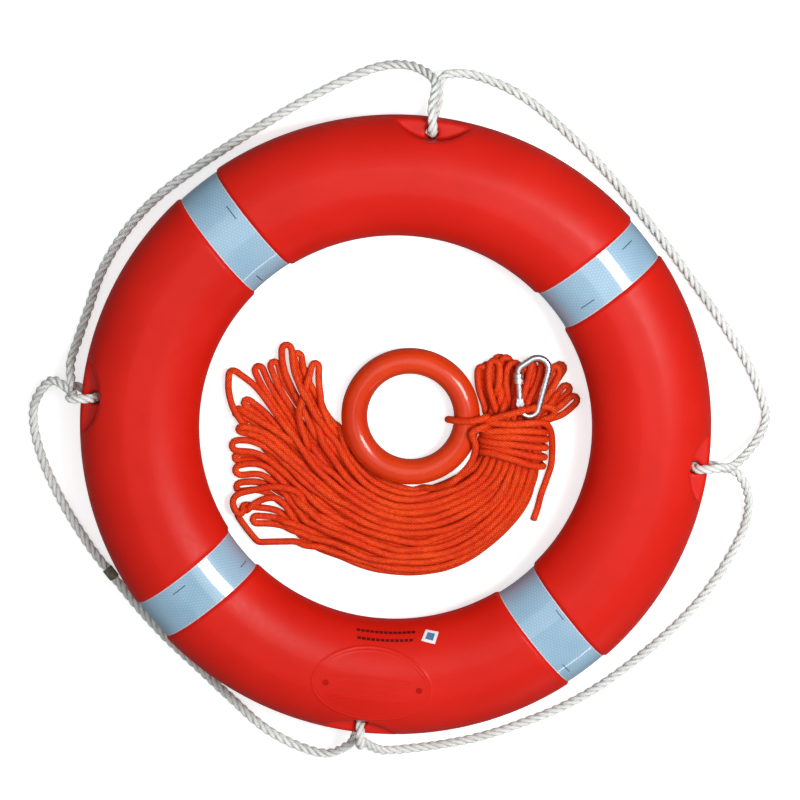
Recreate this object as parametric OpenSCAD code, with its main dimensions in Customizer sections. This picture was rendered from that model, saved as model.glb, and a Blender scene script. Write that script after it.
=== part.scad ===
// Ring lifebuoy with its grab line and a stowed heaving line.
// The ring lies flat with +Z up. The origin is the middle of its underside.

/* [Ring] */
// Outside diameter of the ring
ring_od = 720; // [700:5:740]
// Diameter of the opening in the middle
ring_id = 448; // [440:2:456]
// Thickness of the ring, from underside to top
ring_h = 105; // [100:1:112]
// How far the full oval would stand past the flat lands on top and underneath
land_cut = 0.9; // [0.5:0.1:1.5]
// Wall of the moulded shell
wall = 2.5; // [2:0.5:4]

/* [Eyelets] */
// Thickness of the web that the rope passes through
web_h = 32; // [26:1:40]
// Plan radius of the pockets above and below each web
pocket_r = 62; // [55:1:70]
// Distance from the ring's axis to the deepest point of a pocket
pocket_reach = 336.5; // [334:0.5:340]
// Diameter of the rope hole
rope_hole_d = 14; // [13:0.5:15]

/* [Reflective tape] */
// Width of each tape
tape_w = 50; // [45:1:55]
// Thickness of each tape
tape_t = 0.6; // [0.4:0.1:1]
// Depth of the channel that each tape lies in
recess_depth = 3; // [2:0.5:4]
// Spare width of the channel on each side of the tape
recess_spare = 1.5; // [1:0.5:3]

/* [Grab line] */
// Diameter of the grab line
rope_d = 11; // [8:0.5:12]
// Outside diameter of the whipping over the joined ends
whipping_d = 13; // [13:0.5:15]
// Length of the whipping
whipping_l = 14; // [10:1:30]

/* [Heaving line] */
// Diameter of the heaving line
line_d = 8; // [6:0.5:8]
// Outside diameter of the hand ring
hand_od = 160; // [150:1:164]
// Diameter of the hand ring's tube
hand_tube_d = 30; // [26:1:30]
// Height of the folded bights on the left
bights_left_h = 20; // [16:1:24]
// Height of the bundle between the bights
bundle_h = 28; // [24:1:32]
// Height of the folded bights on the right
bights_right_h = 24; // [20:1:24]
// Height of the turns that bind the bundle
binding_h = 36; // [34:1:40]

/* [Carabiner] */
// Diameter of the steel rod
rod_d = 7.6; // [7:0.1:8]
// Bend radius at the small end, on the rod's centreline
small_bend_r = 10.5; // [10:0.5:12]
// Bend radius over the top, on the rod's centreline
top_bend_r = 13; // [12:0.5:14]
// Bend radius at the nose, on the rod's centreline
nose_bend_r = 9; // [8:0.5:10]
// Distance from the hinge pin to the gap at the nose
gate_l = 32; // [30:0.1:34]
// Diameter of the screw sleeve
sleeve_d = 12; // [11.6:0.1:12.4]
// Length of the screw sleeve
sleeve_l = 12; // [11:0.5:12]

/* [Hidden] */
$fn = 64;
clear = 0.3;
mid_z = ring_h / 2;
tube_a = (ring_od - ring_id) / 4;
tube_b = ring_h / 2 + land_cut;
tube_c = (ring_od + ring_id) / 4;
oval_steps = 36;
tape_angles = [45, 135, 225, 315];
eyelet_angles = [0, 90, 180, 270];
pocket_c = pocket_reach + pocket_r;
hole_c = pocket_reach + rope_hole_d / 2 - 0.5;
plug_r = 3.5;
plug_c = 295;
plug_angles = [-99, -78];
label_angle = -74;
label_side = 18;
label_turn = 25;
label_t = 0.3;
label_at = 139.9;

// Grab line: where the rope is knotted outboard of each eyelet, distance from the axis
knot_c = [393, 403, 373, 377];
rope_z = rope_d / 2 + 0.5;
// Stretch from the right-hand eyelet to the top one
loop_1 = [
    [414, 28, 24], [424, 55, 8], [414, 83, rope_z], [392, 119, rope_z], [361, 157, rope_z],
    [322, 200, rope_z], [282, 242, rope_z], [240, 283, rope_z], [197, 322, rope_z],
    [151, 357, rope_z], [103, 388, rope_z], [63, 403, 8], [30, 409, 24]
];
// Stretch from the top eyelet to the left-hand one
loop_2 = [
    [-30, 411, 24], [-64, 405, 8], [-104, 384, rope_z], [-142, 359, rope_z], [-184, 328, rope_z],
    [-226, 295, rope_z], [-268, 259, rope_z], [-306, 221, rope_z], [-335, 179, rope_z],
    [-355, 134, rope_z], [-366, 88, rope_z], [-374, 52, 10], [-378, 28, 24]
];
// Stretch from the left-hand eyelet to the bottom one
loop_3 = [
    [-397, 6, 26], [-415, -22, 12], [-415, -52, rope_z], [-401, -92, rope_z], [-372, -142, rope_z],
    [-332, -193.5, 7.6], [-286, -241.5, 7.6], [-262, -265, 7.2], [-234, -290, rope_z],
    [-195, -320, rope_z], [-154, -352, rope_z], [-110, -384, rope_z], [-67, -401, 8.4], [-31, -401, 22]
];
// Stretch from the bottom eyelet to the right-hand one
loop_4 = [
    [30, -390, 22], [65, -388, 8.4], [106, -378, rope_z], [149, -363, rope_z], [192, -342, rope_z],
    [236, -317, rope_z], [277, -286, rope_z], [316, -248, rope_z], [352, -207, rope_z],
    [382, -164, rope_z], [404, -119, rope_z], [418, -73, 8.4], [414, -33, 24]
];
// Turn through one eyelet: distance from the axis less the hole's, sideways, height from the middle
turn = [
    [30, -6, -22], [15, -2, -25], [3, 0, -24], [0, 0, -14], [0, 0, 0],
    [0, 0, 14], [3, 0, 24], [15, 2, 25], [30, 6, 14]
];

// Heaving line: plan outlines of its stowed lengths, and its free stretches
bights_left = [
    [-46, -50], [-60, -18], [-74, 8], [-98, 62], [-138, 78], [-170, 50], [-199, 40], [-200, 30],
    [-189, -8], [-186, -50], [-178, -80], [-174, -118], [-170, -138], [-152, -157], [-128, -164],
    [-100, -163]
];
bundle = [
    [-46, -50], [-100, -163], [-83, -164], [-58, -169], [-40, -176], [0, -180], [30, -181],
    [64, -175], [100, -158], [131, -131], [152, -98], [163, -70], [169, -40], [108, -30],
    [98, -48], [70, -66], [49, -77], [20, -81], [-5, -76], [-30, -62]
];
binding = [[108, -30], [169, -40], [173, -26], [167, 12], [107, 12], [106, -10]];
bights_right = [
    [107, 12], [186, 12], [200, 34], [206, 52], [194, 66], [187, 84], [180, 91], [158, 96],
    [126, 95], [110, 93], [90, 80], [86, 64], [98, 29]
];
tail = [
    [177, 5, 22], [182, -8, 14], [185, -22, 7], [185, -38, 4.8], [182, -58, 4.6],
    [177, -80, 4.6], [173, -96, 4.6]
];
tether = [
    [92, 1, 39.5], [94, -10, 37], [93, -22, 34.5], [90, -34, 33], [82, -48, 32.6],
    [72, -60, 32.4], [58, -70, 32.4]
];
hand_c = [16, 11];
hand_r = (hand_od - hand_tube_d) / 2;
hitch_r = hand_tube_d / 2 + line_d / 2 + clear;
hand_low_z = hand_tube_d / 2 + clear;
hand_high_z = hitch_r + line_d / 2 + clear + 0.2;
hand_tilt = asin((hand_high_z - hand_low_z) / (2 * hand_r));
hand_z = (hand_low_z + hand_high_z) / 2;

// Carabiner: it lies level, with the gate's line turned from its long axis
hook_at = [149, 29.5, 30.7];
hook_turn = -4.6;
gate_line = 285;
spine_line = 87;
slant_line = 226;
end_l = 5;
joint_lap = 0.1;
joint_step = 0.02;
knuckle_h = rod_d + 0.4;
cheek_t = 1.9;
tongue_t = rod_d - 2 * cheek_t - 0.3;
knuckle_r = 4.4;
pin_r = 1.2;
pin_clear = 0.05;
gate_r = 3.5;
gap = 0.2;
tip_r = 2.3;
tip_l = 3.6;
sleeve_top = gate_l + 3.3;
sleeve_bore_r = gate_r + 0.15;
sleeve_mouth_r = 5;
spring_r = 1.6;
spring_l = 9;

// ---- shapes shared by the ring's pieces ----

// One point of the oval section, moved in by g, at angle a
function oval_point(g, a) = [
    tube_c + (tube_a - g) * cos(a),
    mid_z + max(-(mid_z - g), min(mid_z - g, (tube_b - g) * sin(a)))
];
function oval(g, from, to, steps) = [
    for (i = [0 : steps]) oval_point(g, from + (to - from) * i / steps)
];

module ring_solid(g) {
    rotate_extrude() polygon(oval(g, 0, 360 - 360 / oval_steps, oval_steps - 1));
}

module upper_half_solid() {
    rotate_extrude() polygon(oval(0, 0, 180, oval_steps / 2));
}

// Straight block across the tube at one tape
module tape_zone(angle, w) {
    rotate(angle) translate([tube_c - tube_a - 5, -w / 2, -5]) cube([2 * tube_a + 10, w, ring_h + 10]);
}

// What the tape channels take away from the ring, with everything moved in by g
module tape_channels(g) {
    for (angle = tape_angles) {
        difference() {
            tape_zone(angle, tape_w + 2 * recess_spare + 2 * g);
            ring_solid(recess_depth + g);
        }
    }
}

// Pockets above and below each web, and the rope holes
module eyelet_cuts(g) {
    for (angle = eyelet_angles) rotate(angle) {
        translate([pocket_c, 0, mid_z + web_h / 2 - g]) cylinder(h = ring_h, r = pocket_r + g);
        translate([pocket_c, 0, mid_z - web_h / 2 + g - ring_h]) cylinder(h = ring_h, r = pocket_r + g);
        translate([hole_c, 0, -1]) cylinder(h = ring_h + 2, r = rope_hole_d / 2 + g);
    }
}

// The ring's outer form, moved in by g all over
module ring_form(g) {
    difference() {
        ring_solid(g);
        tape_channels(g);
        eyelet_cuts(g);
    }
}

module shell_half() {
    difference() {
        upper_half_solid();
        tape_channels(0);
        eyelet_cuts(0);
        ring_form(wall);
    }
}

// ---- tubes swept along a route ----

function unit(v) = v / norm(v);
function heading(p, i) = unit(p[min(i + 1, len(p) - 1)] - p[max(i - 1, 0)]);
// A side direction at every point, carried along without twist
function sides_along(p, i, n) =
    let (t = heading(p, i), s = unit(n - (n * t) * t))
    i == len(p) - 1 ? [s] : concat([s], sides_along(p, i + 1, s));
function first_side(p) =
    let (t = heading(p, 0))
    unit(cross(t, abs(t[2]) < 0.9 ? [0, 0, 1] : [1, 0, 0]));

module tube(p, r, sides = 8) {
    n = sides_along(p, 0, first_side(p));
    last = len(p) - 1;
    points = [
        for (i = [0 : last], k = [0 : sides - 1])
            let (t = heading(p, i), a = 360 * k / sides)
            p[i] + r * (cos(a) * n[i] + sin(a) * cross(t, n[i]))
    ];
    walls = [
        for (i = [0 : last - 1], k = [0 : sides - 1])
            let (a = i * sides + k, b = i * sides + (k + 1) % sides)
            each [[a, a + sides, b], [b, a + sides, b + sides]]
    ];
    ends = [[for (k = [0 : sides - 1]) k], [for (k = [sides - 1 : -1 : 0]) last * sides + k]];
    polyhedron(points, concat(walls, ends));
}

// ---- ring ----

module shell_top() {
    color("orangered") difference() {
        shell_half();
        for (angle = plug_angles) {
            rotate(angle) translate([plug_c, 0, ring_h - 6]) cylinder(h = 12, r = plug_r + 0.1);
        }
    }
}

module shell_bottom() {
    color("orangered") translate([0, 0, ring_h]) mirror([0, 0, 1]) shell_half();
}

module foam_core() {
    color("wheat") ring_form(wall + clear);
}

module fill_plugs() {
    color("firebrick") for (angle = plug_angles) {
        rotate(angle) translate([plug_c, 0, ring_h - wall]) cylinder(h = wall - 0.1, r = plug_r);
    }
}

module info_label() {
    p = oval_point(0, label_at);
    slope = atan2(tube_a * sin(label_at), tube_b * cos(label_at));
    color("white") intersection() {
        difference() {
            ring_solid(-label_t);
            ring_solid(0);
        }
        rotate(label_angle) translate([p[0], 0, p[1]]) rotate([0, 90 - slope, 0]) rotate(label_turn)
            cube([label_side, label_side, 12], center = true);
    }
}

module reflective_tape(k) {
    color("lightsteelblue") intersection() {
        difference() {
            ring_solid(recess_depth - tape_t);
            ring_solid(recess_depth);
        }
        tape_zone(tape_angles[k], tape_w);
    }
}

// ---- grab line ----

// Points of the turn through eyelet k, ending at its knot
function turn_point(k, q) =
    let (a = eyelet_angles[k], r = hole_c + q[0])
    [r * cos(a) - q[1] * sin(a), r * sin(a) + q[1] * cos(a), mid_z + q[2]];
function knot_point(k, side) = turn_point(k, [knot_c[k] - hole_c, 8 * side, -10]);
function turn_points(k) = concat([knot_point(k, -1)], [for (q = turn) turn_point(k, q)], [knot_point(k, 1)]);
function loop_points(k) =
    let (middle = [loop_1, loop_2, loop_3, loop_4][k])
    concat([knot_point(k, 1)], middle, [knot_point((k + 1) % 4, -1)]);

module grab_line_loop(k) {
    color("gainsboro") tube(loop_points(k), rope_d / 2);
}

module grab_line_turn(k) {
    color("gainsboro") tube(turn_points(k), rope_d / 2);
}

module grab_line_whipping() {
    a = loop_3[5];
    b = loop_3[6];
    way = unit(b - a);
    color("dimgray") translate((a + b) / 2) rotate([0, acos(way[2]), atan2(way[1], way[0])])
        difference() {
            cylinder(h = whipping_l, d = whipping_d, center = true);
            cylinder(h = whipping_l + 2, d = rope_d + 2 * clear, center = true);
        }
}

// ---- heaving line ----

module hand_ring_place() {
    translate([hand_c[0], hand_c[1], hand_z]) rotate([0, -hand_tilt, 0]) children();
}

module hand_ring() {
    color("orangered") hand_ring_place()
        rotate_extrude() translate([hand_r, 0]) circle(d = hand_tube_d);
}

module hand_ring_hitch() {
    color("tomato") hand_ring_place() translate([hand_r, 0, 0]) rotate([90, 0, 0])
        rotate_extrude() translate([hitch_r, 0]) circle(d = line_d);
}

module hand_ring_tether() {
    color("tomato") tube(tether, line_d / 2);
}

module stowed(outline, h) {
    color("tomato") translate([0, 0, clear]) linear_extrude(h - clear) polygon(outline);
}

module heaving_line_bights_left() {
    stowed(bights_left, bights_left_h);
}

module heaving_line_bundle() {
    stowed(bundle, bundle_h);
}

module heaving_line_binding() {
    stowed(binding, binding_h);
}

module heaving_line_bights_right() {
    stowed(bights_right, bights_right_h);
}

module heaving_line_tail() {
    color("tomato") tube(tail, line_d / 2);
}

// ---- carabiner, drawn flat with its small end at the local origin ----

function dir(a) = [cos(a), sin(a)];
// Way covered by a left-hand bend of radius r from heading a to heading b
function bend_way(r, a, b) = r * (dir(b - 90) - dir(a - 90));
// The closed loop of rod and gate leaves two straight lengths to be found
straight_way = (end_l + gate_l + tip_l) * dir(gate_line)
    + bend_way(small_bend_r, gate_line - 360, spine_line)
    + bend_way(top_bend_r, spine_line, slant_line)
    + bend_way(nose_bend_r, slant_line, gate_line);
function cross2(a, b) = a[0] * b[1] - a[1] * b[0];
spine_l = -cross2(straight_way, dir(slant_line)) / cross2(dir(spine_line), dir(slant_line));
slant_l = -cross2(straight_way, dir(spine_line)) / cross2(dir(slant_line), dir(spine_line));

// Start of each stretch of the rod's centreline
bend_start = small_bend_r * dir(gate_line - 90);
hinge = bend_start - end_l * dir(gate_line);
spine_start = small_bend_r * dir(spine_line - 90);
top_start = spine_start + spine_l * dir(spine_line);
slant_start = top_start + bend_way(top_bend_r, spine_line, slant_line);
nose_start = slant_start + slant_l * dir(slant_line);
tip_start = nose_start + bend_way(nose_bend_r, slant_line, gate_line);

module hook_place() {
    translate(hook_at) rotate(hook_turn) translate([0, small_bend_r, 0]) children();
}

// A straight is a hair thinner than the bends that it laps into, so no two surfaces are tangent
module rod_straight(start, a, l, r = rod_d / 2 - joint_step) {
    translate(start) rotate(a) translate([-joint_lap, 0, 0]) rotate([0, 90, 0])
        cylinder(h = l + 2 * joint_lap, r = r);
}

module rod_bend(start, r, a, b) {
    translate(start - r * dir(a - 90)) rotate(a - 90)
        rotate_extrude(angle = b - a) translate([r, 0]) circle(d = rod_d);
}

// Local frame of the gate: origin on the hinge pin, +X along the gate towards the nose
module gate_place() {
    hook_place() translate(hinge) rotate(gate_line - 180) children();
}

module carabiner_body() {
    color("silver") difference() {
        union() {
            hook_place() {
                rod_bend(bend_start, small_bend_r, gate_line - 360, spine_line);
                rod_straight(spine_start, spine_line, spine_l);
                rod_bend(top_start, top_bend_r, spine_line, slant_line);
                rod_straight(slant_start, slant_line, slant_l);
                rod_bend(nose_start, nose_bend_r, slant_line, gate_line);
                rod_straight(tip_start, gate_line, tip_l - gap - joint_lap, tip_r);
            }
            gate_place() {
                rod_straight([-end_l, 0, 0], 0, end_l);
                cylinder(h = knuckle_h, r = knuckle_r, center = true);
            }
        }
        gate_place() {
            translate([-knuckle_r, -knuckle_r - 1, -tongue_t / 2 - 0.15])
                cube([3 * knuckle_r, 2 * knuckle_r + 2, tongue_t + 0.3]);
            cylinder(h = rod_d + 2, r = pin_r + pin_clear, center = true);
        }
    }
}

module carabiner_gate() {
    color("silver") gate_place() difference() {
        union() {
            cylinder(h = tongue_t, r = knuckle_r - 0.6, center = true);
            translate([0, -gate_r, -tongue_t / 2]) cube([knuckle_r + 2, 2 * gate_r, tongue_t]);
            translate([knuckle_r + 1, 0, 0]) rotate([0, 90, 0])
                cylinder(h = gate_l - gap - knuckle_r - 1, r = gate_r);
        }
        cylinder(h = rod_d, r = pin_r + pin_clear, center = true);
        translate([knuckle_r + 3, 0, 0]) rotate([0, 90, 0]) cylinder(h = spring_l + 1, r = spring_r + 0.3);
    }
}

module gate_pin() {
    color("gray") gate_place() cylinder(h = knuckle_h, r = pin_r, center = true);
}

module gate_spring() {
    color("gray") gate_place() translate([knuckle_r + 3.5, 0, 0]) rotate([0, 90, 0]) difference() {
        cylinder(h = spring_l, r = spring_r);
        translate([0, 0, -1]) cylinder(h = spring_l + 2, r = spring_r - 0.5);
    }
}

module screw_sleeve() {
    color("gainsboro") gate_place() translate([sleeve_top - sleeve_l, 0, 0]) rotate([0, 90, 0])
        difference() {
            union() {
                cylinder(h = sleeve_l - 3, d = sleeve_d);
                translate([0, 0, sleeve_l - 3]) cylinder(h = 3, d1 = sleeve_d, d2 = sleeve_d - 1);
            }
            translate([0, 0, -1]) cylinder(h = sleeve_l + 2, r = sleeve_bore_r);
            translate([0, 0, sleeve_l - 3.3 - gap]) cylinder(h = 5, r = sleeve_mouth_r);
        }
}

shell_top();
shell_bottom();
foam_core();
fill_plugs();
info_label();
reflective_tape(0);  // reflective_tape_1
reflective_tape(1);  // reflective_tape_2
reflective_tape(2);  // reflective_tape_3
reflective_tape(3);  // reflective_tape_4
grab_line_loop(0);  // grab_line_loop_1
grab_line_loop(1);  // grab_line_loop_2
grab_line_loop(2);  // grab_line_loop_3
grab_line_loop(3);  // grab_line_loop_4
grab_line_turn(0);  // grab_line_turn_1
grab_line_turn(1);  // grab_line_turn_2
grab_line_turn(2);  // grab_line_turn_3
grab_line_turn(3);  // grab_line_turn_4
grab_line_whipping();
hand_ring();
hand_ring_hitch();
hand_ring_tether();
heaving_line_bights_left();
heaving_line_bundle();
heaving_line_binding();
heaving_line_bights_right();
heaving_line_tail();
carabiner_body();
carabiner_gate();
gate_pin();
gate_spring();
screw_sleeve();
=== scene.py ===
import math
import random

import bmesh
import bpy
import numpy as np
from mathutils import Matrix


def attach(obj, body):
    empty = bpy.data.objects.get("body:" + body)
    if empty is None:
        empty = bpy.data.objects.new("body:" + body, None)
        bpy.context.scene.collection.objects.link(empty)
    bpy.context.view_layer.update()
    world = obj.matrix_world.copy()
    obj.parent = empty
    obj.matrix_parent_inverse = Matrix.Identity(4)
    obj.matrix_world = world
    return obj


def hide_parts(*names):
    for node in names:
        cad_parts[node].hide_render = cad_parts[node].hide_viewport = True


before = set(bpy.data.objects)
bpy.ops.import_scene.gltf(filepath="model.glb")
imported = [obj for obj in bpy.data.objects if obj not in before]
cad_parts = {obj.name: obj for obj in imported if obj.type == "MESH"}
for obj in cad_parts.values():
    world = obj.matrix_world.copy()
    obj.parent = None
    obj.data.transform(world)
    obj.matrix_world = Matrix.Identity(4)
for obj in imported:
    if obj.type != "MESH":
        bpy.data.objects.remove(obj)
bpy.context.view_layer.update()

import openvdb
from mathutils import Matrix, Vector

MM = 0.001
SCENE = bpy.context.scene

# ---- sizes from the CAD source, in millimetres ----
RING_OD, RING_ID, RING_H, LAND_CUT = 720, 448, 105, 0.9
MID_Z = RING_H / 2
TUBE_C = (RING_OD + RING_ID) / 4
TUBE_A = (RING_OD - RING_ID) / 4
TUBE_B = MID_Z + LAND_CUT
WEB_HALF, POCKET_R, POCKET_REACH, ROPE_HOLE_R = 16, 62, 336.5, 7
POCKET_C = POCKET_REACH + POCKET_R
HOLE_C = POCKET_REACH + ROPE_HOLE_R - 0.5
CHANNEL_HALF, CHANNEL_DEPTH, TAPE_HALF = 26.5, 3.0, 25.0
ROPE_D, LINE_D = 11.0, 8.0
HAND_C, HAND_R, HAND_TUBE_R = (16, 11), 65, 15
HAND_LOW_Z, HAND_HIGH_Z = 15.3, 23.8

# ---- camera ----
# angle off the vertical and turn about the view (degrees), distance (m)
VIEW_TILT, VIEW_ROLL, VIEW_DISTANCE = 11.7, 6.75, 3.5
# width of the scene across the view at the ring (m), sensor width (mm), and the shift that frames the ring
VIEW_WIDTH, SENSOR = 0.9128, 36.0
VIEW_SHIFT = (0.0055, 0.0375)


def make_camera():
    turn = Matrix.Rotation(math.radians(VIEW_ROLL), 3, "Z")
    tilt = math.radians(VIEW_TILT)
    back = turn @ Vector((0, math.sin(tilt), math.cos(tilt)))
    up = turn @ Vector((0, math.cos(tilt), -math.sin(tilt)))
    right = up.cross(back)
    cam = bpy.data.objects.new("camera", bpy.data.cameras.new("camera"))
    SCENE.collection.objects.link(cam)
    cam.matrix_world = (
        Matrix.Translation(Vector((0, 0, MID_Z * MM)) + back * VIEW_DISTANCE)
        @ Matrix((right, up, back)).transposed().to_4x4()
    )
    cam.data.sensor_width = SENSOR
    cam.data.lens = SENSOR * VIEW_DISTANCE / VIEW_WIDTH
    cam.data.shift_x, cam.data.shift_y = VIEW_SHIFT
    SCENE.camera = cam


make_camera()


# ---- mesh helpers: everything is built in millimetres and stored in metres ----
def add_mesh(name, verts, faces, material, body, uvs=None, smooth=True):
    mesh = bpy.data.meshes.new(name)
    mesh.from_pydata([tuple(v) for v in np.asarray(verts, float) * MM], [], faces)
    if uvs is not None:
        layer = mesh.uv_layers.new(name="UVMap")
        layer.data.foreach_set("uv", np.asarray(uvs, np.float32).ravel())
    if smooth:
        mesh.shade_smooth()
    mesh.validate()
    obj = bpy.data.objects.new(name, mesh)
    SCENE.collection.objects.link(obj)
    mesh.materials.append(material)
    if body:
        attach(obj, body)
    return obj


def face_outwards(obj):
    bm = bmesh.new()
    bm.from_mesh(obj.data)
    bmesh.ops.recalc_face_normals(bm, faces=bm.faces[:])
    bm.to_mesh(obj.data)
    bm.free()


def grid_faces(rows, cols, wrap_rows=False, wrap_cols=False, start=0):
    """Quads of a rows x cols grid of points."""
    r = np.arange(rows if wrap_rows else rows - 1)
    c = np.arange(cols if wrap_cols else cols - 1)
    r, c = (x.ravel() for x in np.meshgrid(r, c, indexing="ij"))
    r2, c2 = (r + 1) % rows, (c + 1) % cols
    return (np.stack([r * cols + c, r * cols + c2, r2 * cols + c2, r2 * cols + c], 1) + start).tolist()


def frames_along(path):
    """Unit tangents and a pair of side directions carried along a path without twist."""
    t = np.gradient(path, axis=0)
    t /= np.linalg.norm(t, axis=1)[:, None]
    n = np.zeros_like(t)
    seed = np.array([0, 0, 1.0]) if abs(t[0][2]) < 0.9 else np.array([1.0, 0, 0])
    v = np.cross(t[0], seed)
    for i in range(len(t)):
        v = v - (v @ t[i]) * t[i]
        v /= np.linalg.norm(v)
        n[i] = v
    return t, n, np.cross(t, n)


def smooth_route(points, step):
    """A rounded curve through control points, with points about step apart."""
    p = np.array(points, float)
    p = np.vstack([2 * p[0] - p[1], p, 2 * p[-1] - p[-2]])
    out = []
    for a, b, c, d in zip(p[:-3], p[1:-2], p[2:-1], p[3:]):
        # centripetal knots, so that a short span next to a long one doesn't overshoot
        k = np.cumsum([0] + [max(np.linalg.norm(y - x), 1e-6) ** 0.5 for x, y in ((a, b), (b, c), (c, d))])
        for s in np.linspace(k[1], k[2], 24, endpoint=False):
            a1 = (k[1] - s) / (k[1] - k[0]) * a + (s - k[0]) / (k[1] - k[0]) * b
            a2 = (k[2] - s) / (k[2] - k[1]) * b + (s - k[1]) / (k[2] - k[1]) * c
            a3 = (k[3] - s) / (k[3] - k[2]) * c + (s - k[2]) / (k[3] - k[2]) * d
            b1 = (k[2] - s) / (k[2] - k[0]) * a1 + (s - k[0]) / (k[2] - k[0]) * a2
            b2 = (k[3] - s) / (k[3] - k[1]) * a2 + (s - k[1]) / (k[3] - k[1]) * a3
            out.append((k[2] - s) / (k[2] - k[1]) * b1 + (s - k[1]) / (k[2] - k[1]) * b2)
    return spaced(np.vstack([out, p[-2]]), step)


def spaced(path, step):
    along = np.concatenate([[0], np.cumsum(np.linalg.norm(np.diff(path, axis=0), axis=1))])
    at = np.linspace(0, along[-1], max(2, int(round(along[-1] / step)) + 1))
    return np.stack([np.interp(at, along, path[:, k]) for k in range(3)], 1)


def length_of(path):
    return float(np.linalg.norm(np.diff(path, axis=0), axis=1).sum())


def add_tube(name, path, radius_at, sides, material, body, twist=0.0):
    """A tube of closed rings along a path. radius_at gives the radius at an angle and a place along it."""
    t, n, b = frames_along(path)
    along = np.concatenate([[0], np.cumsum(np.linalg.norm(np.diff(path, axis=0), axis=1))])
    angle = np.linspace(0, 2 * math.pi, sides, endpoint=False)
    turn = along * twist
    around = angle[None, :] + turn[:, None]
    r = radius_at(angle[None, :] + 0 * turn[:, None], along[:, None] + 0 * angle[None, :])
    verts = (
        path[:, None, :]
        + (r * np.cos(around))[..., None] * n[:, None, :]
        + (r * np.sin(around))[..., None] * b[:, None, :]
    ).reshape(-1, 3)
    rings = len(path)
    faces = grid_faces(rings, sides, wrap_cols=True)
    u = np.repeat(along * MM, sides).reshape(rings, sides)
    uvs = []
    for f in faces:
        row, col = divmod(f[0], sides)
        u0, u1 = u[row, 0], u[row + 1, 0]
        v0, v1 = col / sides, (col + 1) / sides
        uvs += [(u0, v0), (u0, v1), (u1, v1), (u1, v0)]
    # each end closes over a smaller ring onto one point
    extra, base = [], rings * sides
    for end, way in ((0, -1), (rings - 1, 1)):
        ring = verts[end * sides : (end + 1) * sides]
        centre = path[end]
        inner = centre + (ring - centre) * 0.7 + way * t[end] * 0.8
        start = base + len(extra)
        extra += list(inner) + [centre + way * t[end] * 1.1]
        for k in range(sides):
            k2 = (k + 1) % sides
            quad = [end * sides + k, end * sides + k2, start + k2, start + k]
            tri = [start + k, start + k2, start + sides]
            faces.append(quad if way > 0 else quad[::-1])
            faces.append(tri if way > 0 else tri[::-1])
            at = along[end] * MM
            uvs += [(at, 0)] * 7
    return add_mesh(name, np.vstack([verts, extra]), faces, material, body, uvs)


# ---- materials ----
class Nodes:
    """A short way to write a node material: each call adds one node and returns its first output."""

    def __init__(self, name, **principled):
        self.material = bpy.data.materials.new(name)
        self.material.use_nodes = True
        self.tree = self.material.node_tree
        self.shader = self.tree.nodes["Principled BSDF"]
        for key, value in principled.items():
            self.shader.inputs[key.replace("_", " ")].default_value = value

    def add(self, kind, out=0, props=None, **inputs):
        node = self.tree.nodes.new("ShaderNode" + kind)
        for key, value in (props or {}).items():
            setattr(node, key, value)
        for key, value in inputs.items():
            by_number = key[0] == "i" and key[1:].isdigit()
            self.put(node.inputs[int(key[1:]) if by_number else key.replace("_", " ")], value)
        return node.outputs[out]

    def put(self, socket, value):
        if isinstance(value, bpy.types.NodeSocket):
            self.tree.links.new(value, socket)
        else:
            socket.default_value = value

    def set(self, **inputs):
        for key, value in inputs.items():
            self.put(self.shader.inputs[key.replace("_", " ")], value)

    def math(self, operation, a, b=0.0, c=0.0):
        return self.add("Math", props={"operation": operation}, i0=a, i1=b, i2=c)

    def ramp(self, value, low, high, to_low=0.0, to_high=1.0):
        return self.add(
            "MapRange", Value=value, From_Min=low, From_Max=high, To_Min=to_low, To_Max=to_high
        )

    def mix(self, factor, a, b):
        return self.add("Mix", out=2, props={"data_type": "RGBA"}, i0=factor, i6=a, i7=b)

    def noise(self, scale, detail=3.0, roughness=0.55):
        place = self.add("TexCoord", out=3)
        return self.add("TexNoise", Vector=place, Scale=scale, Detail=detail, Roughness=roughness)

    def bump(self, height, distance, strength=1.0):
        return self.add("Bump", Height=height, Distance=distance, Strength=strength)

    def tube_place(self):
        """Distance along a tube in metres, and the share of the way round it."""
        place = self.add("UVMap", props={"uv_map": "UVMap"})
        split = self.tree.nodes.new("ShaderNodeSeparateXYZ")
        self.tree.links.new(place, split.inputs[0])
        return split.outputs[0], split.outputs[1]


def rgb(r, g, b):
    return (r, g, b, 1.0)


def shell_material(name):
    m = Nodes(name, Roughness=0.42, Specular_IOR_Level=0.17)
    broad = m.noise(9.0, 4.0)
    fine = m.noise(140.0, 3.0)
    grain = m.noise(900.0, 2.0)
    m.set(Base_Color=m.mix(m.ramp(broad, 0.35, 0.68), rgb(0.57, 0.0090, 0.0032), rgb(0.63, 0.0125, 0.0050)))
    m.set(Roughness=m.ramp(fine, 0.3, 0.7, 0.37, 0.47))
    # moulded skin: a faint ripple and a fine pebble
    height = m.math("ADD", m.math("MULTIPLY", m.noise(45.0, 2.0), 2.2), m.math("MULTIPLY", grain, 0.35))
    m.set(Normal=m.bump(height, 0.00022, 0.55))
    return m.material


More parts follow.
